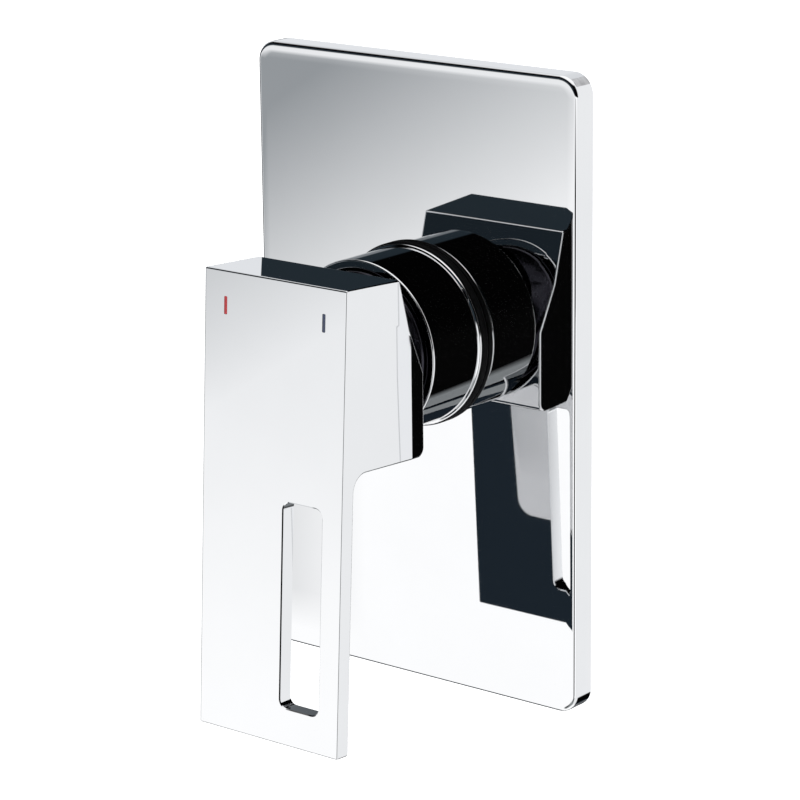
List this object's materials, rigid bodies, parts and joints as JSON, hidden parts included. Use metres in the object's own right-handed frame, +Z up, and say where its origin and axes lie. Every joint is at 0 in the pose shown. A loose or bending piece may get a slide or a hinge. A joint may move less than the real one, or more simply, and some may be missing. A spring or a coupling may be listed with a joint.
{
  "type": "concealed shower mixer",
  "caption": "Wall-mounted single-lever shower mixer: tall rounded cover plate, round sleeve, slotted flat lever, and the brass valve body that sits inside the wall.",
  "frame": {"origin": "where the lever's swivel axis meets the finished wall, which is the plane of the cover plate's back rim and of the body's wall flange", "axes": "+Z up the wall, -Y straight out of the wall towards the user, +X to the right of a user who faces the plate"},
  "size_m": [0.112, 0.1045, 0.18],
  "materials": {
    "chrome": "mirror-bright plating",
    "chrome_cap": "bright plating on a pressed cap",
    "brass": "cast and turned brass",
    "steel": "drawn and ground steel",
    "black_rubber": "moulded rubber",
    "foam": "closed-cell foam strip",
    "ceramic": "lapped alumina",
    "white_plastic": "moulded engineering plastic",
    "grey_plastic": "moulded engineering plastic",
    "amber_plastic": "low-friction moulded plastic",
    "red_plastic": "moulded plastic",
    "red_mark": "enamel let into the lever's face",
    "blue_mark": "enamel let into the lever's face"
  },
  "bodies": {
    "base": {"cover_plate": "chrome", "plate_gasket": "foam", "sleeve": "chrome", "sleeve_seal": "black_rubber", "sleeve_o_ring": "black_rubber", "dome_cap": "chrome_cap", "retaining_nut": "brass", "cartridge_housing": "white_plastic", "cartridge_base": "grey_plastic", "base_seals": "black_rubber", "disc_seals": "black_rubber", "fixed_disc": "ceramic", "thrust_washer": "amber_plastic", "valve_body": "brass"},
    "swivel": {"rotor": "grey_plastic", "rotor_o_ring": "black_rubber", "limit_ring": "red_plastic", "pivot_pin": "steel"},
    "slider": {"disc_carrier": "amber_plastic", "moving_disc": "ceramic"},
    "lever": {"stem": "steel", "lever": "chrome", "grub_screw": "steel", "hot_mark": "red_mark", "cold_mark": "blue_mark"}
  },
  "joints": [
    {"name": "temperature_swivel", "type": "hinge", "parent": "base", "child": "swivel", "pos_m": [0, 0, 0], "axis": [0, 1, 0], "range_deg": [-45, 45]},
    {"name": "flow_lift", "type": "hinge", "parent": "swivel", "child": "lever", "pos_m": [0, -0.022, 0], "axis": [-1, 0, 0], "range_deg": [0, 20]},
    {"name": "disc_slide", "type": "slide", "parent": "swivel", "child": "slider", "axis": [0, 0, -1], "range_m": [0, 0.0051]}
  ],
  "couplings": [
    {"joint": "disc_slide", "follows": "flow_lift", "m_per_rad": 0.014426}
  ]
}
